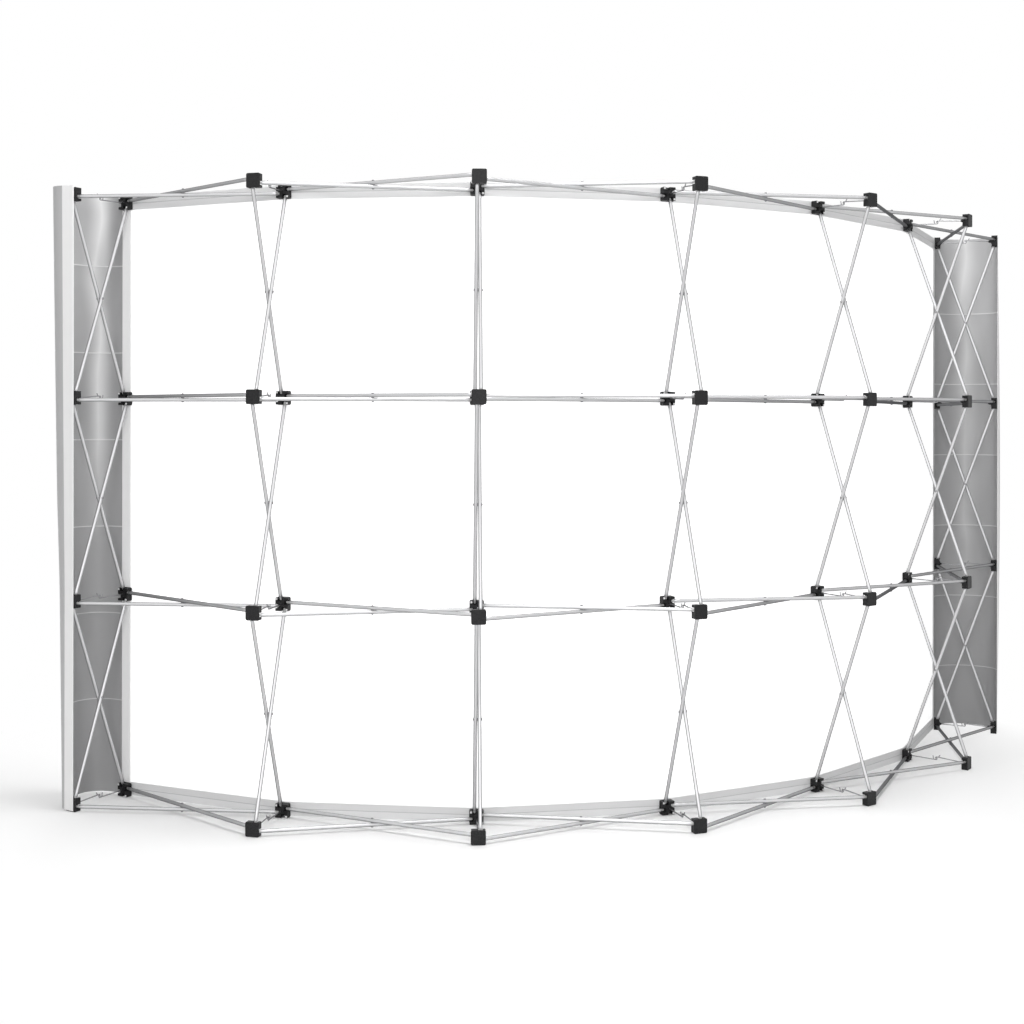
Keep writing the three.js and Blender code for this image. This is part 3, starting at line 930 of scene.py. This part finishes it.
def end_panel(end, creases, painted_highlight):
    """A bent end panel: hems on the back and front end hubs, joined by a smooth turn round the end."""
    column = COLUMNS if end > 0 else 1
    edges = [PANEL_BOTTOM, PANEL_BOTTOM + 0.001, PANEL_TOP - 0.001, PANEL_TOP]
    beside = CREASE_HALF * np.array([-1, -1 / 2, -1 / 6, 1 / 6, 1 / 2, 1])
    folds = np.asarray(creases)[:, None] + beside
    heights = np.sort(np.concatenate([edges, folds.ravel(), np.arange(0.05, 2.21, 0.06)]))
    lines = [plan_line(column, BACK_RADIUS, panel_at(end, height) * (end, 1))[::end] for height in heights]
    run = np.linspace(0, PANEL_WIDTH, PANEL_STEPS + 1)

    def ripple(u, z):
        """A shallow dent along each fold line, fading out toward the hems."""
        away = np.abs(z[..., None] - creases)
        dent = CREASE_DEPTH * np.clip(1 - away / CREASE_HALF, 0, 1).sum(axis=-1)
        fade = np.clip(np.minimum(u, PANEL_WIDTH - u) / 0.08 - 0.4, 0, 1)
        return dent * fade, dent * fade

    side = "right" if end > 0 else "left"
    node = f"end_panel_{side}"
    inside = laminate(f"panel_inside_{side}", (0.45, 0.45, 0.455), (0.88, 0.88, 0.88), 0.16, 0.36, painted_highlight,
                      creases)
    return sheet_mesh(f"bent_{node}", lines, run, heights, PANEL_THICKNESS, ripple,
                      node, [PANEL_OUTSIDE, inside], node)


# The last numbers given to each panel skin set its painted highlight: run to its middle, half width, lowest
# height and strength.
PANEL_OUTSIDE = laminate("panel_outside", (0.60, 0.60, 0.605), (0.88, 0.88, 0.88), 0.12, 0.4,
                         (0.25, 0.10, 0.4, 0.08))
end_panel(1, tuple(0.352 + 0.324 * k for k in range(6)), (0.355, 0.065, 0.90, 0.75))
end_panel(-1, tuple(0.274 + 0.323 * k for k in range(6)), (PANEL_WIDTH - 0.265, 0.075, 0.45, 0.42))


# ---------------------------------------------------------------- floor, light and camera

FLOOR_HALF = 30
FLOOR_CORNERS = [(-FLOOR_HALF, -FLOOR_HALF, 0), (FLOOR_HALF, -FLOOR_HALF, 0), (FLOOR_HALF, FLOOR_HALF, 0),
                 (-FLOOR_HALF, FLOOR_HALF, 0)]


def floor_paint():
    """Pale paint that takes soft shadows near the wall and turns plain white to the camera farther out."""
    material = bpy.data.materials.new("floor_paint")
    material.use_nodes = True
    n = Nodes(material.node_tree)
    shader = material.node_tree.nodes["Principled BSDF"]
    shader.inputs["Roughness"].default_value = 0.7
    glow = n.add("ShaderNodeEmission")
    glow.inputs["Color"].default_value = grey(1)
    where = n.add("ShaderNodeTexCoord")
    distance = n.add("ShaderNodeVectorMath", operation="DISTANCE")
    distance.inputs[1].default_value = (0.35, 0.0, 0.0)
    n.link(where.outputs["Object"], distance.inputs[0])
    looked_at = seen(n)
    n.link(n.blend(looked_at, grey(0.66), grey(0.96)), shader.inputs["Base Color"])
    far = n.between(distance.outputs["Value"], 1.35, 2.6)
    whiten = n.add("ShaderNodeMixShader")
    n.link(n.maths("MULTIPLY", far, looked_at), whiten.inputs[0])
    n.link(shader.outputs[0], whiten.inputs[1])
    n.link(glow.outputs[0], whiten.inputs[2])
    n.link(whiten.outputs[0], material.node_tree.nodes["Material Output"].inputs["Surface"])
    return material


def light_world():
    """Even light from all round, and a plain white backdrop to the camera and in shiny surfaces."""
    world = bpy.data.worlds.new("studio")
    bpy.context.scene.world = world
    world.use_nodes = True
    n = Nodes(world.node_tree)
    background, backdrop = world.node_tree.nodes["Background"], n.add("ShaderNodeBackground")
    for shader, strength in ((background, 0.34), (backdrop, 1.0)):
        shader.inputs["Color"].default_value = grey(1)
        shader.inputs["Strength"].default_value = strength
    choose = n.add("ShaderNodeMixShader")
    n.link(seen(n), choose.inputs[0])
    n.link(background.outputs[0], choose.inputs[1])
    n.link(backdrop.outputs[0], choose.inputs[2])
    n.link(choose.outputs[0], world.node_tree.nodes["World Output"].inputs["Surface"])


def softbox(name, spot, target, size, power):
    """A large square lamp aimed at a point."""
    light = bpy.data.lights.new(name, "AREA")
    light.shape = "SQUARE"
    light.size = size
    light.energy = power
    lamp = bpy.data.objects.new(name, light)
    bpy.context.scene.collection.objects.link(lamp)
    lamp.location = spot
    lamp.rotation_mode = "QUATERNION"
    lamp.rotation_quaternion = (Vector(target) - Vector(spot)).to_track_quat("-Z", "Y")


floor = new_piece("studio_floor", FLOOR_CORNERS, [(0, 1, 2, 3)], [0], [False], [floor_paint()])
light_world()
softbox("top_softbox", (0.3, 0.6, 5.5), (0.2, 0.2, 0), 1.9, 200)
softbox("key_softbox", (3.5, 7.0, 3.2), (0, 0, 1.1), 3.0, 190)
softbox("front_softbox", (-0.5, -5.5, 3.0), (0, 0, 1.1), 4.0, 100)

# Camera fitted to the photograph: place, yaw, pitch and roll, focal length and centre in pixels
YAW, PITCH, ROLL = -0.3392, -0.0007, -0.0016
ACROSS, AWAY, EYE_HEIGHT = -0.6352, 5.1800, 1.4044
FOCAL_PIXELS, CENTRE_X, CENTRE_Y = 1458.4, 488.9, 419.8
PICTURE, SENSOR = 1024, 36.0
camera_data = bpy.data.cameras.new("camera")
camera_data.sensor_width = SENSOR
camera_data.lens = FOCAL_PIXELS / PICTURE * SENSOR
camera_data.shift_x = (PICTURE / 2 - CENTRE_X) / PICTURE
camera_data.shift_y = (CENTRE_Y - PICTURE / 2) / PICTURE
camera_data.clip_start = 0.05
camera_data.clip_end = 200
camera = bpy.data.objects.new("camera", camera_data)
bpy.context.scene.collection.objects.link(camera)
camera_x = -(ACROSS * math.cos(YAW) + AWAY * math.sin(YAW))
camera_y = -ACROSS * math.sin(YAW) + AWAY * math.cos(YAW) + ARC_CENTRE_Y + FRONT_RADIUS
turn = (Matrix.Rotation(math.pi + YAW, 4, "Z") @ Matrix.Rotation(math.pi / 2 + PITCH, 4, "X")
        @ Matrix.Rotation(-ROLL, 4, "Z"))
camera.matrix_world = Matrix.Translation((camera_x, camera_y, EYE_HEIGHT)) @ turn
bpy.context.scene.camera = camera
bpy.context.scene.view_settings.view_transform = "Standard"
